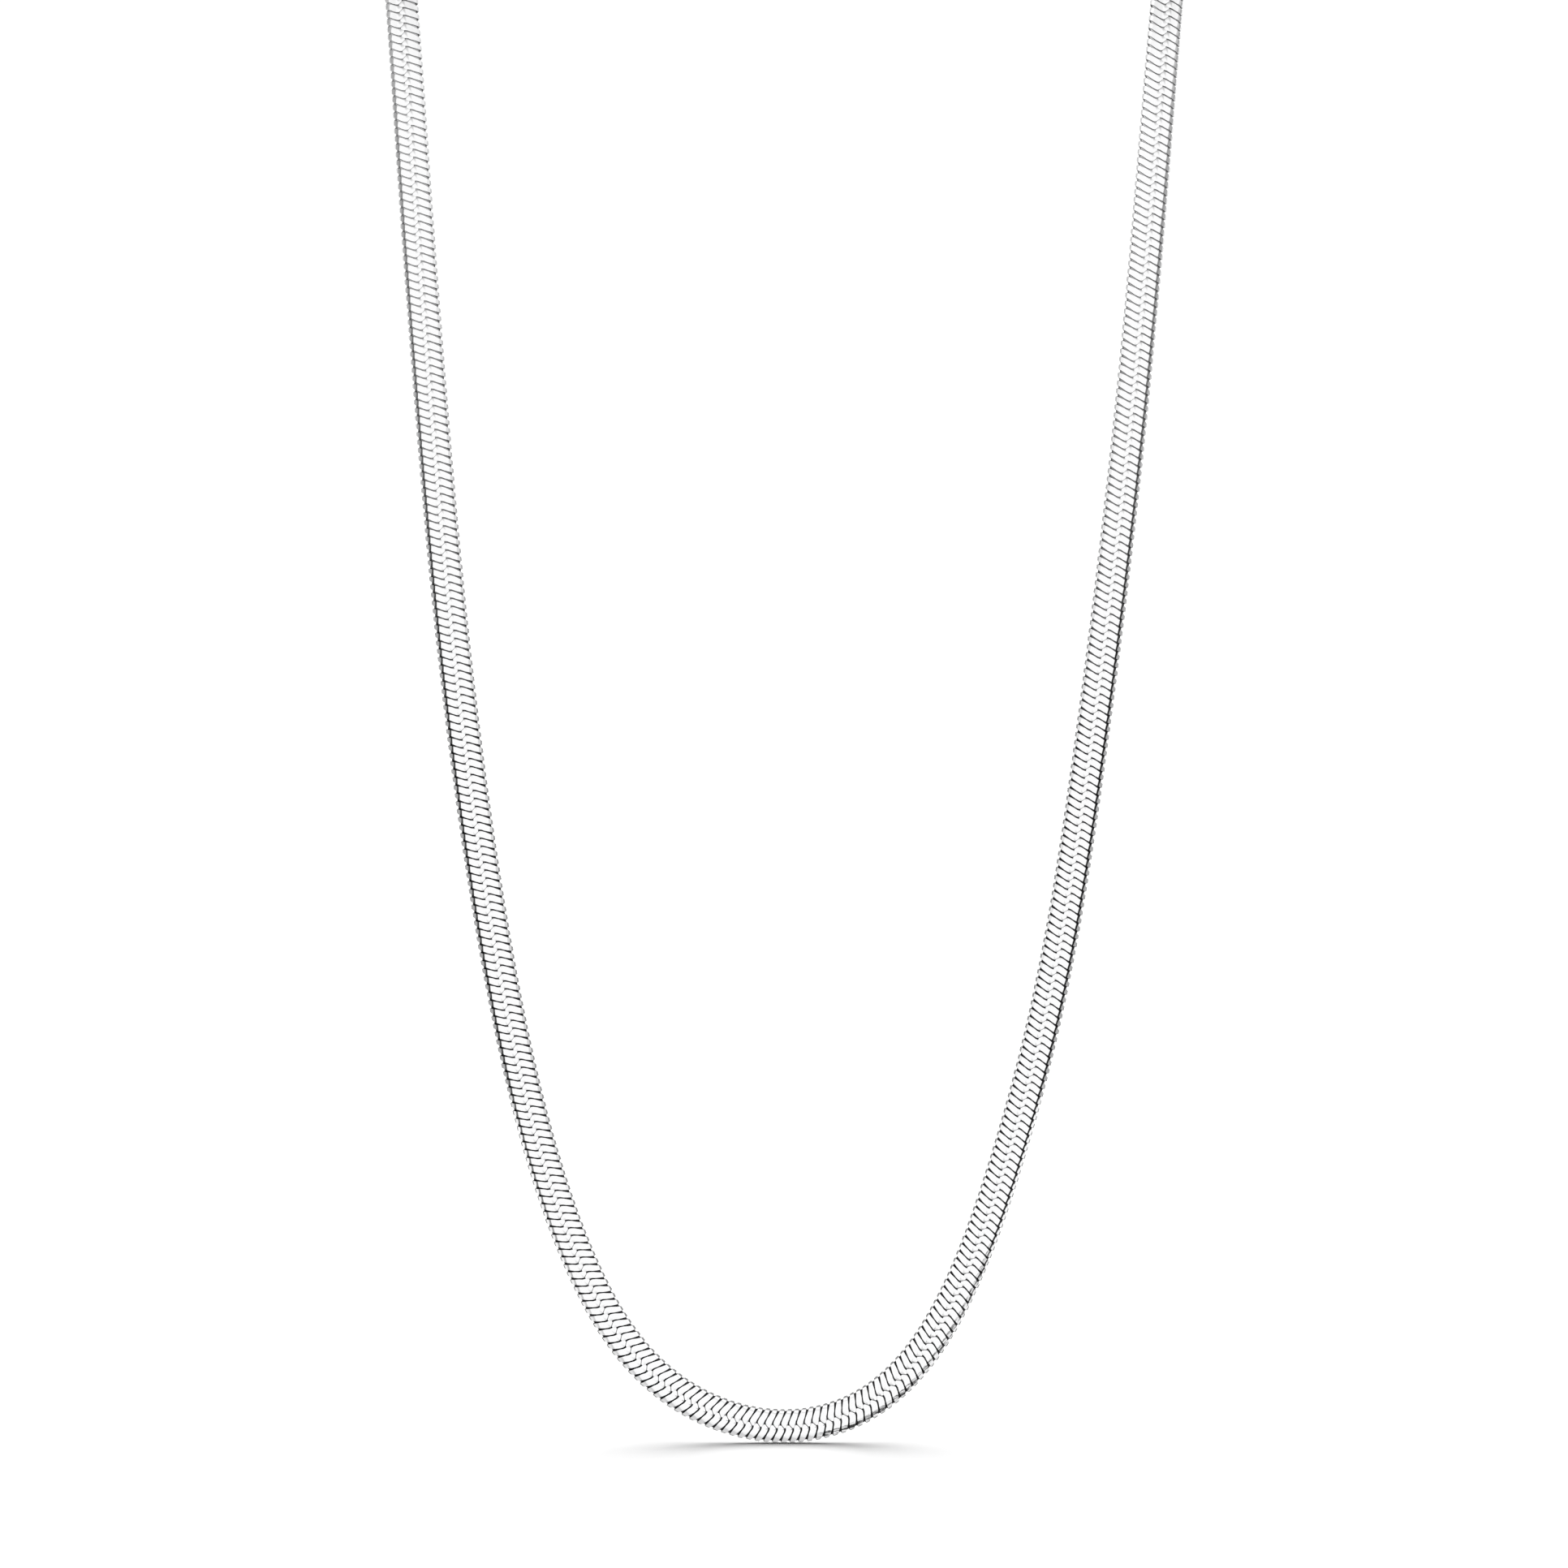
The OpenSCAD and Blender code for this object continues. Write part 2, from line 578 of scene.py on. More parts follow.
    def _round(self, link: bpy.types.Object, station: Station) -> None:
        """Rounds the bar's upper edges at a station, as they are where it rolls round the side.

        Args:
            link: The link in edit mode.
            station: Where, and how round.
        """
        near, top, bevel = self.edge, -self.edge / 2, -1.5 * self.edge
        pick_points(link, lambda p: abs(p.y - station.way) < near and bevel < p.z < top)
        bpy.ops.transform.translate(value=(0, 0, -station.drop))
        pick_points(link, lambda p: abs(p.y - station.way) < near and p.z > top)
        middle = (station.ahead, station.way, 0)
        bpy.ops.transform.resize(value=(station.crest, 1, 1), center_override=middle)

    def model_row(self) -> bpy.types.Object:
        """Repeats the link from one end of the band to the other, trimmed square at both ends.

        Returns:
            The row, still unrolled, with each point's link and depth stored.
        """
        row = self.model_link()
        size = len(row.data.vertices)
        total = self.count + 2 * self.lead
        apply_modifier(
            row,
            "ARRAY",
            count=total,
            use_relative_offset=False,
            use_constant_offset=True,
            constant_offset_displace=(self.pitch, 0, 0),
        )
        places = points_of(row)
        places[:, 0] += self._middle(0)
        row.data.vertices.foreach_set("co", places.astype(np.float32).ravel())
        write_attribute(row, "link", np.repeat(np.arange(total), size))
        with editing(row):
            for end, cut in ((0, "clear_inner"), (self.route.length, "clear_outer")):
                bpy.ops.mesh.select_all(action="SELECT")
                bpy.ops.mesh.bisect(
                    plane_co=(end, 0, 0), plane_no=(1, 0, 0), use_fill=True, **{cut: True}
                )
        # Depth below the top face, which sets how much painted gap shade a point gets
        write_attribute(row, "depth", -points_of(row)[:, 2] / self.depth)
        return row

    def lay(self, row: bpy.types.Object, side: Row) -> bpy.types.Object:
        """Lays a flat row along the route, round one side of the band.

        In a bend the links slide over each other inside it and part outside it, by the share
        keeping. Two things grow with the bend: all gaps widen by opening, because the links
        turn against each other, and the two rows' tips move apart by parting. The links stay
        under the band's outline by skin.

        Args:
            row: The unrolled row.
            side: The side of the band that it goes round.

        Returns:
            The row in place.
        """
        length = self.route.length
        flat = points_of(row)
        link = read_attribute(row, "link")
        draw = np.random.default_rng(self.seed + side.value)
        tilts = draw.normal(0, self.tilt, self.count + 2 * self.lead)
        middle = self._middle(link)
        ahead = flat[:, 0] - middle
        lean = tilts[link.round().astype(int)] * ahead
        if side is Row.INNER:
            middle, ahead = length - middle, -ahead
        at = self.route.frames(np.clip(middle, 0, length))
        bend = np.linalg.norm(at.bend, axis=1)
        aside = self.parting * bend * np.clip(1 - flat[:, 1] / self.section.flat, 0, 1)
        across, out = self.section.wrap(flat[:, 1] + aside, flat[:, 2] + lean - self.skin)
        across *= side.value
        offset = at.across * across[:, None] + at.out * out[:, None]
        stretch = 1 - self.keeping * np.sum(at.bend * offset, axis=1)
        stretch *= 1 + self.opening * bend
        distance = np.clip(middle + ahead / stretch, 0, length)
        put_points(row, self.route.carry(distance, across, out))
        # How far out a point lies, which keeps the paler painted gap shade to the outward faces
        write_attribute(row, "face", out / self.section.radius)
        return row

    def build(self) -> list[bpy.types.Object]:
        """Makes both rows, in place and dressed.

        Returns:
            The outer and the inner row.
        """
        outer = self.model_row()
        inner = outer.copy()
        inner.data = outer.data.copy()
        bpy.context.collection.objects.link(inner)
        for row, side in ((outer, Row.OUTER), (inner, Row.INNER)):
            row.name = f"links_{side.name.lower()}"
            row.data.name = row.name
            self.lay(row, side)
            self.finish.dress(row)
        return [outer, inner]


@dataclass
class Core:
    """The folds of the links inside the band, seen only deep in the gaps and painted dark all over
    with the gap shade.

    Inset is how far it lies inside the band's outline. Its long edges are divided twice over,
    by each of the two numbers in cuts.
    """

    route: Route
    section: Section
    finish: "Silver"
    inset: float = 0.24 * MM
    sides: int = 16
    cuts: tuple[int, int] = (14, 19)

    def build(self) -> bpy.types.Object:
        """Makes the core as a long bar with round sides, carried onto the route.

        Returns:
            The core in place, dressed.
        """
        length = self.route.length
        core = add(
            bpy.ops.mesh.primitive_cylinder_add,
            "chain_core",
            vertices=self.sides,
            radius=self.section.radius - self.inset,
            depth=length,
            location=(length / 2, 0, 0),
            rotation=(0, math.pi / 2, 0),
        )
        with editing(core):
            part_halves(core, self.sides, self.section.flat)
            short = MM / 2
            for cuts in self.cuts:
                pick_edges(core, lambda a, b: abs(a.x - b.x) > short)
                bpy.ops.mesh.subdivide(number_cuts=cuts)
        flat = points_of(core)
        put_points(core, self.route.carry(flat[:, 0], flat[:, 1], flat[:, 2]))
        bpy.ops.object.shade_smooth_by_angle(angle=CHAIN_SMOOTH)
        # All of the core counts as deep, so its silver is painted dark with the gap shade
        write_attribute(core, "depth", np.ones(len(core.data.vertices)))
        write_attribute(core, "face", flat[:, 2] / self.section.radius)
        self.finish.dress(core)
        return core


@dataclass
class Clasp:
    """The plain closing piece at the nape, with a rimmed sleeve at each end.

    Width and thickness are the body's. A sleeve is narrower and thinner by step, and a rim is
    wider and thicker by half of it. The band's ends lie chain_end from the clasp's middle,
    with room round them in their sockets.
    """

    section: Section
    finish: "Silver"
    length: float = 17 * MM
    width: float = 5.4 * MM
    thickness: float = CLASP_THICKNESS
    sleeve: float = 3.6 * MM
    step: float = 0.4 * MM
    rim: float = 0.8 * MM
    chain_end: float = 6 * MM
    room: float = 0.12 * MM
    edge: float = 0.16 * MM
    crease: float = math.radians(40)
    smooth_below: float = math.radians(35)
    sides: int = 48

    def build(self) -> bpy.types.Object:
        """Makes the clasp from one bar with round sides, as thick as its sleeves.

        Returns:
            The clasp in place, dressed.
        """
        sleeve_radius = (self.thickness - self.step) / 2
        clasp = add(
            bpy.ops.mesh.primitive_cylinder_add,
            "clasp_shell",
            vertices=self.sides,
            radius=sleeve_radius,
            depth=self.length,
            rotation=(0, math.pi / 2, 0),
        )
        end = self.length / 2
        body_end, rim_start = end - self.sleeve, end - self.rim
        body_rise, rim_rise = self.step / 2, (self.step + self.step / 2) / 2
        wall = sleeve_radius + rim_rise - (self.section.radius + self.section.crown + self.room)
        socket = end - self.chain_end + self.room
        mouth, same_place = end - self.edge, MM / 1000
        with editing(clasp):
            part_halves(clasp, self.sides, (self.width - self.thickness) / 2)
            for cut in (body_end, rim_start):
                for way in (-1, 1):
                    bpy.ops.mesh.select_all(action="SELECT")
                    bpy.ops.mesh.bisect(plane_co=(way * cut, 0, 0), plane_no=(1, 0, 0))
            self._swell(clasp, lambda c: abs(c.x) < body_end, body_rise)
            self._swell(clasp, lambda c: abs(c.x) > rim_start, rim_rise)
            for way in (-1, 1):
                pick_faces(clasp, lambda c, n: n.x * way > FACING and abs(c.x) > mouth)
                bpy.ops.mesh.inset(thickness=wall)
                inward = (-way * socket, 0, 0)
                bpy.ops.mesh.extrude_region_move(TRANSFORM_OT_translate={"value": inward})
            bpy.ops.mesh.select_all(action="SELECT")
            bpy.ops.mesh.remove_doubles(threshold=same_place)
            bpy.ops.mesh.normals_make_consistent(inside=False)
        apply_modifier(
            clasp,
            "BEVEL",
            width=self.edge,
            segments=3,
            limit_method="ANGLE",
            angle_limit=self.crease,
        )
        bpy.ops.object.shade_smooth_by_angle(angle=self.smooth_below)
        clasp.rotation_euler = (-NAPE_SLOPE, 0, 0)
        clasp.location = NAPE
        bpy.ops.object.transform_apply(location=True, rotation=True, scale=True)
        self.finish.dress(clasp)
        return clasp

    @staticmethod
    def _swell(clasp: bpy.types.Object, test: Callable[[Vector], bool], height: float) -> None:
        """Raises a stretch of the bar's side all round.

        Args:
            clasp: The clasp in edit mode.
            test: Says whether a face with that middle is in the stretch.
            height: How far it rises.
        """
        pick_faces(clasp, lambda c, n: abs(n.x) < 1 - FACING and test(c))
        bpy.ops.mesh.extrude_region_shrink_fatten(TRANSFORM_OT_shrink_fatten={"value": height})


# The finishes


def node_group(name: str, inputs: dict[str, float], outputs: dict[str, str]) -> bpy.types.NodeTree:
    """Starts a shader node group with its sockets.

    Args:
        name: The group's name.
        inputs: Number inputs, with their first values.
        outputs: Outputs, with their socket types.

    Returns:
        The new group.
    """
    group = bpy.data.node_groups.new(name, "ShaderNodeTree")
    for label, value in inputs.items():
        socket = group.interface.new_socket(label, in_out="INPUT", socket_type="NodeSocketFloat")
        socket.default_value = value
    for label, kind in outputs.items():
        group.interface.new_socket(label, in_out="OUTPUT", socket_type=kind)
    return group


def add_node(tree: bpy.types.NodeTree, kind: str, **settings: object) -> bpy.types.Node:
    """Adds a node and sets its options and the values of its sockets.

    Args:
        tree: The tree that it goes into.
        kind: The node's type.
        settings: Options by name, and socket values by name under the key sockets.

    Returns:
        The new node.
    """
    node = tree.nodes.new(kind)
    sockets = settings.pop("sockets", {})
    for name, value in settings.items():
        setattr(node, name, value)
    for name, value in sockets.items():
        node.inputs[name].default_value = value
    return node


def add_share(
    tree: bpy.types.NodeTree,
    value: bpy.types.NodeSocket,
    limits: tuple[bpy.types.NodeSocket, bpy.types.NodeSocket],
    **settings: object,
) -> bpy.types.NodeSocket:
    """Adds a node that tells how far a value has come from one limit to another.

    Args:
        tree: The tree that it goes into.
        value: The value's socket.
        limits: Sockets of the value that gives 0 and of the value that gives 1.
        settings: The node's options.

    Returns:
        The socket of the share.
    """
    ramp = add_node(tree, "ShaderNodeMapRange", **settings)
    tree.links.new(value, ramp.inputs["Value"])
    for limit, name in zip(limits, ("From Min", "From Max")):
        tree.links.new(limit, ramp.inputs[name])
    return ramp.outputs["Result"]


def shade_by_height(
    tree: bpy.types.NodeTree, place: bpy.types.NodeSocket, shades: Shades
) -> bpy.types.NodeSocket:
    """Adds nodes that give a grey by the height of a place.

    Args:
        tree: The tree that they go into.
        place: The place's socket.
        shades: Heights and their shades.

    Returns:
        The socket of the grey.
    """
    low, high = min(shades)[0], max(shades)[0]
    apart = add_node(tree, "ShaderNodeSeparateXYZ")
    rise = add_node(tree, "ShaderNodeMapRange", sockets={"From Min": low, "From Max": high})
    ramp = add_node(tree, "ShaderNodeValToRGB")
    stops = ramp.color_ramp.elements
    while len(stops) < len(shades):
        stops.new(0.5)
    for stop, (height, shade) in zip(stops, sorted(shades)):
        stop.position = (height - low) / (high - low)
        stop.color = (shade, shade, shade, 1)
    tree.links.new(place, apart.inputs["Vector"])
    tree.links.new(apart.outputs["Z"], rise.inputs["Value"])
    tree.links.new(rise.outputs["Result"], ramp.inputs["Fac"])
    return ramp.outputs["Color"]


def handling_marks() -> bpy.types.NodeTree:
    """Makes the group that gives fine marks of polishing and handling.

    Returns:
        A group with a mask and a normal.
    """
    group = node_group(
        "handling_marks",
        {"Scale": 1.0, "Strength": 0.1},
        {"Mask": "NodeSocketFloat", "Normal": "NodeSocketVector"},
    )
    come = group.nodes.new("NodeGroupInput")
    go = group.nodes.new("NodeGroupOutput")
    place = add_node(group, "ShaderNodeTexCoord")
    stretch = add_node(group, "ShaderNodeMapping", sockets={"Scale": (300.0, 300.0, 1400.0)})
    streaks = add_node(group, "ShaderNodeTexNoise", sockets={"Detail": 6.0, "Roughness": 0.6})
    specks = add_node(group, "ShaderNodeTexNoise", sockets={"Scale": 2600.0, "Detail": 2.0})
    both = add_node(group, "ShaderNodeMix", data_type="FLOAT", sockets={"Factor": 0.45})
    bump = add_node(group, "ShaderNodeBump", sockets={"Distance": 0.00002})
    link = group.links.new
    link(place.outputs["Object"], stretch.inputs["Vector"])
    link(stretch.outputs["Vector"], streaks.inputs["Vector"])
    link(come.outputs["Scale"], streaks.inputs["Scale"])
    link(place.outputs["Object"], specks.inputs["Vector"])
    link(streaks.outputs["Fac"], both.inputs[2])
    link(specks.outputs["Fac"], both.inputs[3])
    link(both.outputs[0], bump.inputs["Height"])
    link(come.outputs["Strength"], bump.inputs["Strength"])
    link(both.outputs[0], go.inputs["Mask"])
    link(bump.outputs["Normal"], go.inputs["Normal"])
    return group


def crevice_shade() -> bpy.types.NodeTree:
    """Makes the group that places the painted shade: how deep in a gap a spot lies, and how high
    up the front.

    Returns:
        A group with two masks for painted shade: Mask is full down in a gap, where the silver is
        painted dark, and Top is full high up, where the band faces outwards and that shade is
        paler.
    """
    limits = {"Start": 0.02, "End": 0.4, "Low": -0.12, "High": -0.035}
    limits |= {"Behind": -0.04, "Before": -0.05, "Side": 0.1, "Face": 0.5}
    outputs = {"Mask": "NodeSocketFloat", "Top": "NodeSocketFloat"}
    group = node_group("crevice_shade", limits, outputs)
    come = group.nodes.new("NodeGroupInput")
    go = group.nodes.new("NodeGroupOutput")
    depth, face = (
        add_node(group, "ShaderNodeAttribute", attribute_name=name, attribute_type="GEOMETRY")
        for name in ("depth", "face")
    )
    place = add_node(group, "ShaderNodeTexCoord")
    apart = add_node(group, "ShaderNodeSeparateXYZ")
    group.links.new(place.outputs["Object"], apart.inputs["Vector"])
    reach = (come.outputs["Start"], come.outputs["End"])
    mask = add_share(group, depth.outputs["Fac"], reach, interpolation_type="SMOOTHSTEP")
    group.links.new(mask, go.inputs["Mask"])
    top = add_share(group, apart.outputs["Z"], (come.outputs["Low"], come.outputs["High"]))
    for value, least, most in (
        (apart.outputs["Y"], "Behind", "Before"),
        (face.outputs["Fac"], "Side", "Face"),
    ):
        share = add_share(group, value, (come.outputs[least], come.outputs[most]))
        both = add_node(group, "ShaderNodeMath", operation="MULTIPLY")
        group.links.new(top, both.inputs[0])
        group.links.new(share, both.inputs[1])
        top = both.outputs[0]
    group.links.new(top, go.inputs["Top"])
    return group


class Effects:
    """The node groups that the finishes share, each made once."""

    def __init__(self) -> None:
        """Makes the groups."""
        self.marks = handling_marks()
        self.crevice = crevice_shade()


@dataclass(frozen=True)
class Silver:
    """Polished silver, with painted shade where it lies deep in the gaps, painted paler high up
    the front.

    Smooth and worn are its least and greatest roughness, reached where the mask of handling
    marks has the values of marks_range.
    """

    name: str
    slot: str
    effects: Effects
    face: tuple[float, float, float] = (0.93, 0.93, 0.935)
    # Colours of the painted shade down in the gaps, and of the paler painted shade there high up
    # the front
    deep: tuple[float, float, float] = (0.03, 0.03, 0.032)
    deep_top: tuple[float, float, float] = (0.55, 0.55, 0.555)
    smooth: float = 0.06
    worn: float = 0.16
    marks_scale: float = 1.0
    marks_strength: float = 0.08
    marks_range: tuple[float, float] = (0.35, 0.7)
    has_gaps: bool = True

    def material(self) -> bpy.types.Material:
        """Makes the finish's material, or gives the one made before.

        Returns:
            The material.
        """
        made = bpy.data.materials.get(self.name)
        if made:
            return made
        made = bpy.data.materials.new(self.name)
        made.use_nodes = True
        tree = made.node_tree
        surface = tree.nodes["Principled BSDF"]
        surface.inputs["Metallic"].default_value = 1.0
        surface.inputs["Base Color"].default_value = (*self.face, 1)
        marks = add_node(tree, "ShaderNodeGroup", node_tree=self.effects.marks)
        marks.inputs["Scale"].default_value = self.marks_scale
        marks.inputs["Strength"].default_value = self.marks_strength
        least, most = self.marks_range
        limits = {"From Min": least, "From Max": most, "To Min": self.smooth, "To Max": self.worn}
        sheen = add_node(tree, "ShaderNodeMapRange", sockets=limits)
        tree.links.new(marks.outputs["Mask"], sheen.inputs["Value"])
        tree.links.new(sheen.outputs["Result"], surface.inputs["Roughness"])
        tree.links.new(marks.outputs["Normal"], surface.inputs["Normal"])
        if self.has_gaps:
            self._darken_gaps(tree)
        return made

    def _darken_gaps(self, tree: bpy.types.NodeTree) -> None:
        """Paints shade into the silver's colour down in the gaps between links, paler high up the
        front.

        Args:
            tree: The material's nodes.
        """
        crevice = add_node(tree, "ShaderNodeGroup", node_tree=self.effects.crevice)
        # Painted shade: the dark gap colour, mixed paler high up the front, laid over the face
        # colour by the mask
        gap_shade = add_node(tree, "ShaderNodeMix", data_type="RGBA")
        gap_shade.inputs[6].default_value = (*self.deep, 1)
        gap_shade.inputs[7].default_value = (*self.deep_top, 1)
        colour = add_node(tree, "ShaderNodeMix", data_type="RGBA")
        colour.inputs[6].default_value = (*self.face, 1)
        surface = tree.nodes["Principled BSDF"]
        tree.links.new(crevice.outputs["Top"], gap_shade.inputs["Factor"])
        tree.links.new(gap_shade.outputs[2], colour.inputs[7])
        tree.links.new(crevice.outputs["Mask"], colour.inputs["Factor"])
        tree.links.new(colour.outputs[2], surface.inputs["Base Color"])

    def dress(self, piece: bpy.types.Object) -> None:
        """Puts the finish on a piece.

        Args:
            piece: The mesh object.
        """
        piece.data.materials.clear()
        piece.data.materials.append(self.material())


# The studio


def matt_paint(name: str, shade: float) -> bpy.types.Material:
    """Makes a plain matt grey.

    Args:
        name: The material's name.
        shade: How light it is.

    Returns:
        The material.
    """
    paint = bpy.data.materials.new(name)
    paint.use_nodes = True
    surface = paint.node_tree.nodes["Principled BSDF"]
    surface.inputs["Base Color"].default_value = (shade, shade, shade, 1)
    surface.inputs["Roughness"].default_value = 1.0
    surface.inputs["Specular IOR Level"].default_value = 0.0
    return paint


def board_paint(name: str, shade: float) -> bpy.types.Material:
    """Makes the even glow of a board that a lamp lights, the same wherever it stands.

    Args:
        name: The material's name.
        shade: How light it is.

    Returns:
        The material.
    """
    paint = matt_paint(name, 0.0)
    surface = paint.node_tree.nodes["Principled BSDF"]
    surface.inputs["Emission Color"].default_value = (shade, shade, shade, 1)
    surface.inputs["Emission Strength"].default_value = 1.0
    return paint


@dataclass(frozen=True)
class Flag:
    """A strip of board that follows one side of the band at a distance, seen only in the metal.

    Its two edges, near and far, each lie so far to the loop's outside and so far in front of
    the band's outward face. Start and end are shares of the route. Speckle is how white its
    specks are. Over the share fade of its width the strip grows clear, up to its far edge.
    """

    name: str
    route: Route
    start: float
    end: float
    shades: Shades
    near: tuple[float, float]
    far: tuple[float, float]
    speckle: float = 0.0
    fade: float = 0.0
    cuts: int = 90

    def build(self) -> bpy.types.Object:
        """Hangs the strip at its distance from the band.

        Returns:
            The strip.
        """
        flag = add(bpy.ops.mesh.primitive_plane_add, self.name, size=1, location=(0.5, 0.5, 0))
        with editing(flag):
            pick_edges(flag, lambda a, b: abs(a.x - b.x) > 0.5)
            bpy.ops.mesh.subdivide(number_cuts=self.cuts)
        flat = points_of(flag)
        length = self.route.length
        distance = (self.start + (self.end - self.start) * flat[:, 0]) * length
        on_route = np.clip(distance, 0, length)
        at = self.route.frames(on_route)
        near, far = np.array(self.near), np.array(self.far)
        offset = near + (far - near) * flat[:, 1:2]
        beyond = (distance - on_route)[:, None]
        places = at.place + at.across * offset[:, :1] + at.out * offset[:, 1:] + at.along * beyond
        put_points(flag, places)
        flag.data.materials.append(self._paint())
        hide_from_all_but_gloss(flag)
        return flag

    def _paint(self) -> bpy.types.Material:
        """Makes the strip's paint: shaded by height, specked, and clear at its far edge.

        Returns:
            The paint.
        """
        paint = board_paint(f"{self.name}_paint", 0.0)
        tree = paint.node_tree
        surface = tree.nodes["Principled BSDF"]
        place = add_node(tree, "ShaderNodeTexCoord")
        colour = shade_by_height(tree, place.outputs["Object"], self.shades)
        if self.speckle:
            colour = self._speck(tree, place.outputs["Object"], colour)
        tree.links.new(colour, surface.inputs["Emission Color"])
        if self.fade:
            limits = {"From Min": 1.0 - self.fade, "From Max": 1.0, "To Min": 1.0, "To Max": 0.0}
            clear = add_node(tree, "ShaderNodeMapRange", sockets=limits)
            edge = add_node(tree, "ShaderNodeSeparateXYZ")
            tree.links.new(place.outputs["UV"], edge.inputs["Vector"])
            tree.links.new(edge.outputs["Y"], clear.inputs["Value"])
            tree.links.new(clear.outputs["Result"], surface.inputs["Alpha"])
        return paint

    def _speck(
        self,
        tree: bpy.types.NodeTree,
        place: bpy.types.NodeSocket,
        colour: bpy.types.NodeSocket,
    ) -> bpy.types.NodeSocket:
        """Lays fine white specks over a colour.

        Args:
            tree: The paint's nodes.
            place: Socket of the place.
            colour: Socket of the colour under the specks.

        Returns:
            The socket of the specked colour.
        """
        limits = {"From Min": 0.47, "From Max": 0.53, "To Max": self.speckle}
        spread = add_node(tree, "ShaderNodeMapping", sockets={"Scale": (650.0, 110.0, 650.0)})
        specks = add_node(tree, "ShaderNodeTexNoise", sockets={"Scale": 1.0, "Detail": 2.0})
        lift = add_node(tree, "ShaderNodeMapRange", sockets=limits)
        mixed = add_node(tree, "ShaderNodeMix", data_type="RGBA")
        mixed.inputs[7].default_value = (1, 1, 1, 1)
        tree.links.new(place, spread.inputs["Vector"])
        tree.links.new(spread.outputs["Vector"], specks.inputs["Vector"])
        tree.links.new(specks.outputs["Fac"], lift.inputs["Value"])
        tree.links.new(lift.outputs["Result"], mixed.inputs["Factor"])
        tree.links.new(colour, mixed.inputs[6])
        return mixed.outputs[2]


@dataclass(frozen=True)
class Card:
    """A plain board that stands upright beside the necklace, seen only in the metal.

    Near and far are the x and y of its two ends, and low and high the heights of its edges.
    """

    name: str
    near: tuple[float, float]
    far: tuple[float, float]
    low: float
    high: float
    shade: float

    def build(self) -> bpy.types.Object:
        """Stands the card up between its two ends.

        Returns:
            The card.
        """
        (x0, y0), (x1, y1) = self.near, self.far
        card = add(
            bpy.ops.mesh.primitive_plane_add,
            self.name,
            size=1,
            location=((x0 + x1) / 2, (y0 + y1) / 2, (self.low + self.high) / 2),
            rotation=(math.pi / 2, 0, math.atan2(y1 - y0, x1 - x0)),
            scale=(math.hypot(x1 - x0, y1 - y0), self.high - self.low, 1),
        )
        card.data.materials.append(board_paint(f"{self.name}_paint", self.shade))
        hide_from_all_but_gloss(card)
        return card


def hide_from_all_but_gloss(board: bpy.types.Object) -> None:
    """Lets only the metal see a board, and counts the board as stage.

    Args:
        board: The board.
    """
    board.visible_camera = False
    board.visible_diffuse = False
    board.visible_shadow = False
    board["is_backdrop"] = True


# Shades of the boards, from the nape down to the lowest link
NAPE_SHADE = (0.0, 0.45)
LEFT_SHADES = (
    NAPE_SHADE, (-0.02, 0.62), (-0.045, 0.32), (-0.078, 0.15), (-0.1, 0.06), (-0.16, 0.06),
    (-0.18, 0.25), (-0.195, 0.7),
)
RIGHT_SHADES = (
    NAPE_SHADE, (-0.02, 0.78), (-0.05, 0.35), (-0.09, 0.08), (-0.11, 0.02), (-0.175, 0.02),
    (-0.21, 0.04),
)
INNER_LEFT_SHADES = (
    NAPE_SHADE, (-0.02, 0.95), (-0.045, 0.92), (-0.08, 0.78), (-0.16, 0.7), (-0.172, 1.0),
    (-0.205, 1.3),
)
INNER_RIGHT_SHADES = (
    NAPE_SHADE, (-0.02, 1.2), (-0.045, 1.3), (-0.08, 0.88), (-0.12, 0.78), (-0.16, 0.95),
    (-0.18, 1.2), (-0.205, 1.3),
)
RIM_OUTER_SHADES = (
    NAPE_SHADE, (-0.02, 1.0), (-0.045, 0.97), (-0.07, 0.8), (-0.1, 0.4), (-0.205, 0.28),
)
RIM_INNER_SHADES = (NAPE_SHADE, (-0.02, 0.8), (-0.12, 0.35), (-0.205, 0.28))


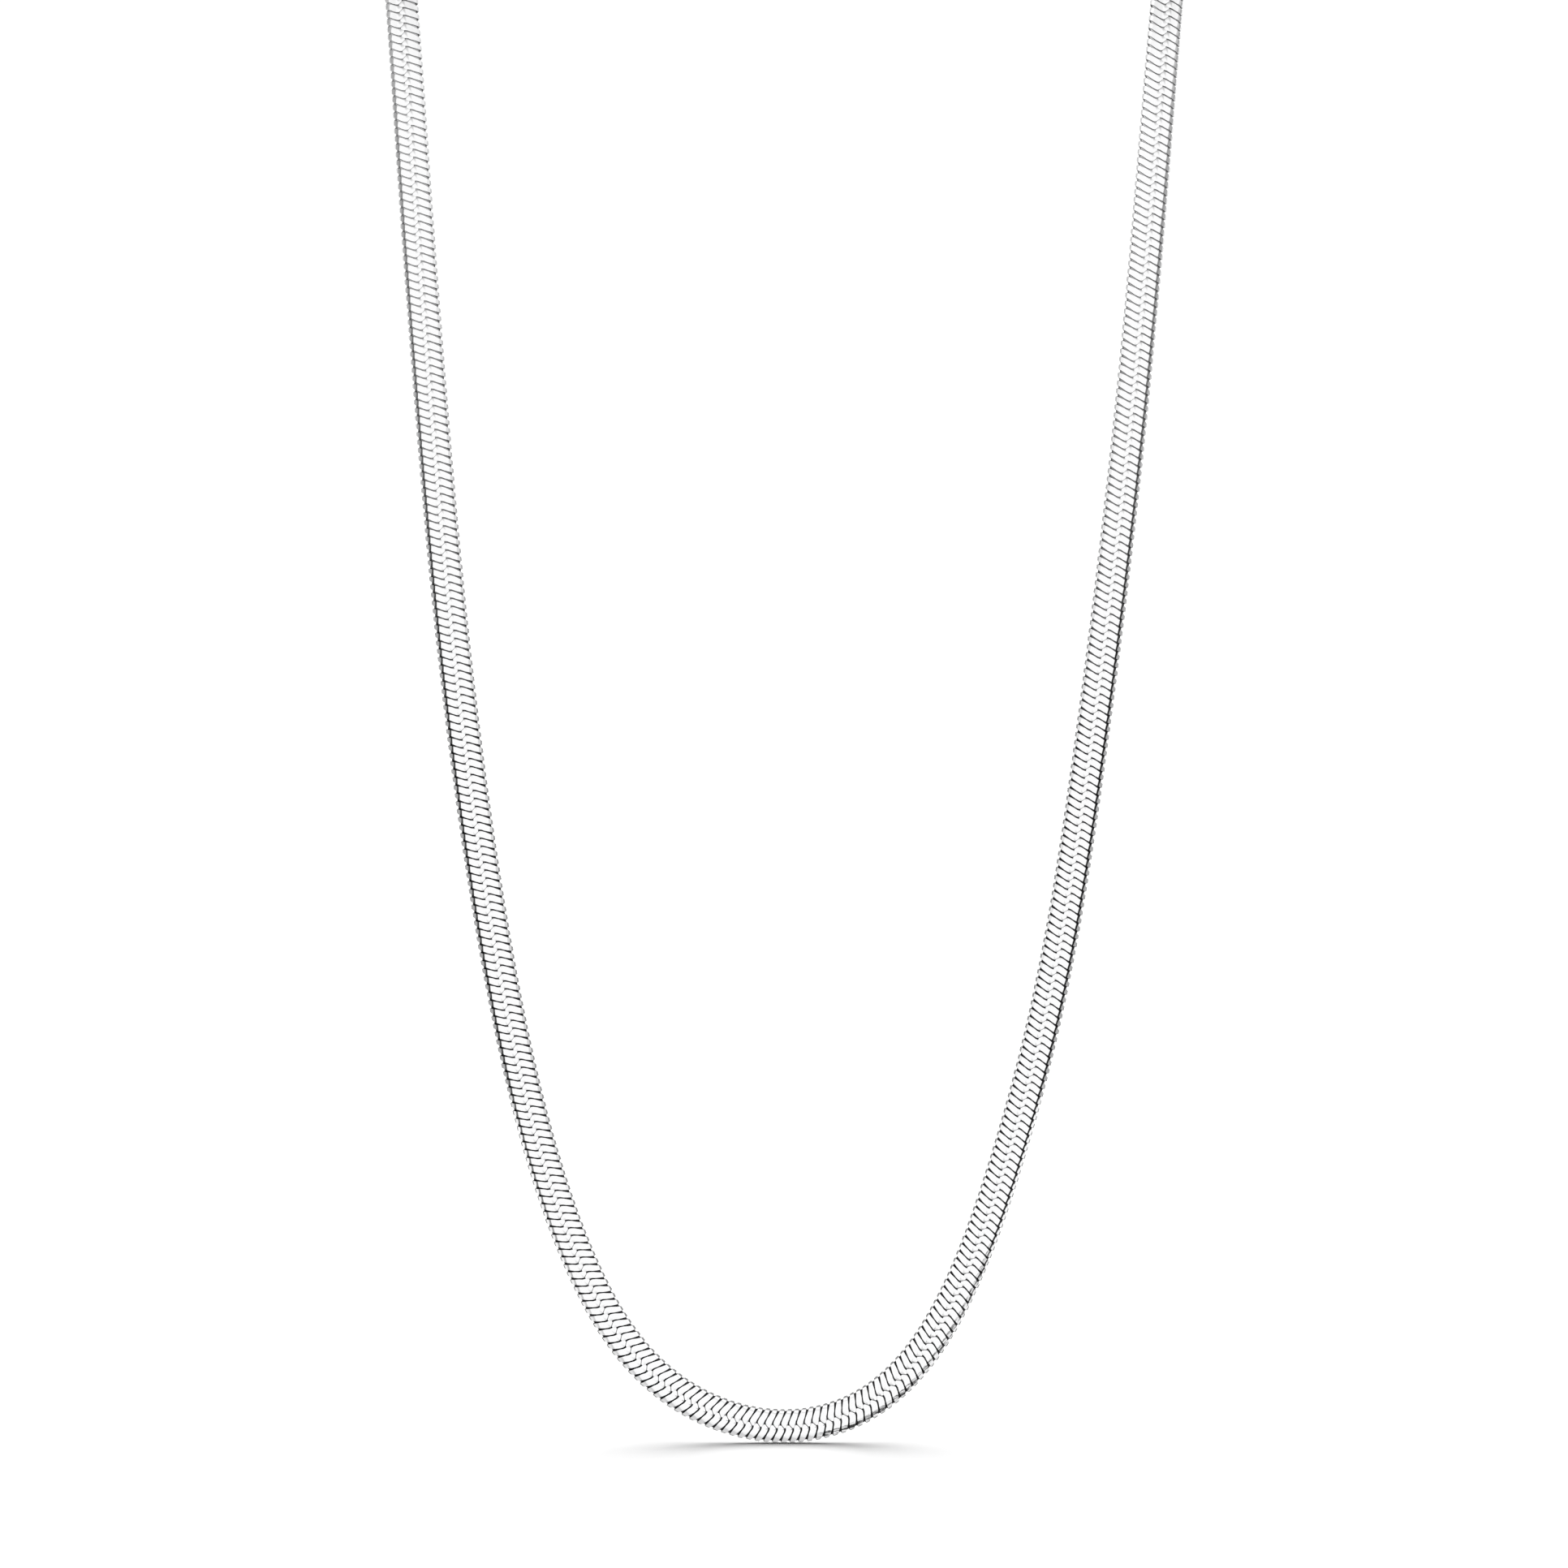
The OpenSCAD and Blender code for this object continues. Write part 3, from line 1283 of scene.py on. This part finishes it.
@dataclass
class Studio:
    """A pale floor, soft light from above, boards that the metal mirrors, and the camera.

    The surround is white near the horizon and greyer above and below: surround has how far a
    direction rises, and its shade. The boards that follow the band stand off it by aside
    and run past its ends by the share over, and foot, middle and turn are the shares of the
    route where some of them meet. The camera stands off its aim by distance, and sees is the
    width that it shows there.
    """

    route: Route
    floor_side: float = 12.0
    floor_gap: float = 0.01 * MM
    floor_shade: float = 0.13
    world_strength: float = 1.06
    surround: Shades = (
        (-1.0, 0.62), (-0.75, 0.75), (-0.35, 1.0), (0.45, 1.0), (0.7, 0.8), (1.0, 0.5),
    )
    sun_strength: float = 28.0
    sun_angle: float = math.radians(75)
    sun_tilt: float = math.radians(-24)
    aside: float = 15 * MM
    over: float = 0.015
    foot: float = 0.508
    middle: float = 0.534
    turn: float = 0.56
    card_aside: float = 0.15
    card_shade: float = 0.42
    distance: float = 0.9
    elevation: float = math.radians(5)
    sees: float = 182.72 * MM
    sensor: float = 36.0
    aim: tuple[float, float, float] = (0.0, -0.062, -0.12444)

    def build(self) -> None:
        """Makes the floor, lights, boards and camera."""
        self._floor()
        self._light()
        for board in self._boards():
            board.build()
        self._camera()
        bpy.context.scene.view_settings.view_transform = "Standard"

    def _floor(self) -> None:
        """Lays the floor just under the chain's lowest link."""
        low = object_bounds()[0].z - self.floor_gap
        floor = add(
            bpy.ops.mesh.primitive_plane_add, "floor", size=self.floor_side, location=(0, 0, low)
        )
        floor.data.materials.append(matt_paint("floor_paper", self.floor_shade))
        floor.visible_glossy = False
        floor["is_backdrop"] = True

    def _light(self) -> None:
        """Lights the scene with the surround and a wide soft light from above."""
        world = bpy.data.worlds.new("surround")
        bpy.context.scene.world = world
        world.use_nodes = True
        tree = world.node_tree
        background = tree.nodes["Background"]
        place = add_node(tree, "ShaderNodeTexCoord")
        colour = shade_by_height(tree, place.outputs["Generated"], self.surround)
        tree.links.new(colour, background.inputs["Color"])
        background.inputs["Strength"].default_value = self.world_strength
        bpy.ops.object.light_add(type="SUN", location=(0, 0, 1), rotation=(self.sun_tilt, 0, 0))
        sun = bpy.context.object
        sun.name = "overhead"
        sun.data.energy = self.sun_strength
        sun.data.angle = self.sun_angle
        sun.visible_glossy = False

    def _boards(self) -> list[Flag | Card]:
        """Gives the boards: dark outside the band, pale inside it and grey behind it.

        Returns:
            The boards, not yet built.
        """
        route, side = self.route, self.aside
        first, last = -self.over, 1 + self.over
        foot, middle, turn = self.foot, self.middle, self.turn
        outer = (side, 20 * MM), (side, 6.8 * MM)
        outer_low = (side, 30 * MM), (side, 2 * MM)
        inner = (-side, 0.5 * MM), (-side, 13 * MM)
        behind_outer = (side, -7 * MM), (side, -60 * MM)
        behind_inner = (-side, -7 * MM), (-side, -60 * MM)
        cards = [
            Card(name, (x, -0.12), (x, -0.01), -0.205, 0.0, self.card_shade)
            for name, x in (("card_left", -self.card_aside), ("card_right", self.card_aside))
        ]
        return [
            Flag("flag_left", route, first, foot, LEFT_SHADES, *outer),
            Flag("flag_right", route, last, turn, RIGHT_SHADES, *outer),
            Flag("flag_low", route, turn, foot, RIGHT_SHADES, *outer_low, speckle=1.0),
            Flag("rim_outer", route, first, last, RIM_OUTER_SHADES, *behind_outer, fade=0.6),
            Flag("rim_inner", route, first, last, RIM_INNER_SHADES, *behind_inner, fade=0.6),
            Flag("inner_left", route, first, middle, INNER_LEFT_SHADES, *inner, fade=0.3),
            Flag("inner_right", route, last, middle, INNER_RIGHT_SHADES, *inner, fade=0.3),
            *cards,
        ]

    def _camera(self) -> None:
        """Places the camera straight in front, a little above the necklace's middle."""
        lens = self.sensor * self.distance / self.sees
        aim = Vector(self.aim)
        back = Vector((0, -math.cos(self.elevation), math.sin(self.elevation)))
        bpy.ops.object.camera_add(location=aim + back * self.distance)
        camera = bpy.context.object
        camera.rotation_euler = (-back).to_track_quat("-Z", "Y").to_euler()
        camera.data.sensor_width = self.sensor
        camera.data.lens = lens
        bpy.context.scene.camera = camera


def report(piece: bpy.types.Object) -> None:
    """Logs what a piece holds."""
    piece.data.calc_loop_triangles()
    LOG.info("%s: %d triangles", piece.name, len(piece.data.loop_triangles))


def main() -> None:
    """Builds the necklace and the studio."""
    logging.basicConfig(level=logging.INFO, format="%(name)s: %(message)s")
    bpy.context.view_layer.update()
    route = Route(ROUTE)
    section = Section()
    effects = Effects()
    chain_silver = Silver("silver_links", "chain_silver", effects)
    clasp_silver = Silver(
        "silver_clasp",
        "clasp_silver",
        effects,
        face=(0.86, 0.86, 0.87),
        marks_scale=0.6,
        has_gaps=False,
    )
    chain = Links(route, section, chain_silver).build()
    chain.append(Core(route, section, chain_silver).build())
    clasp = Clasp(section, clasp_silver).build()
    for piece in chain:
        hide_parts("chain")
    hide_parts("clasp")
    for piece in (*chain, clasp):
        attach(piece, BODY)
        report(piece)
    Studio(route).build()


if __name__ == "__main__":
    main()
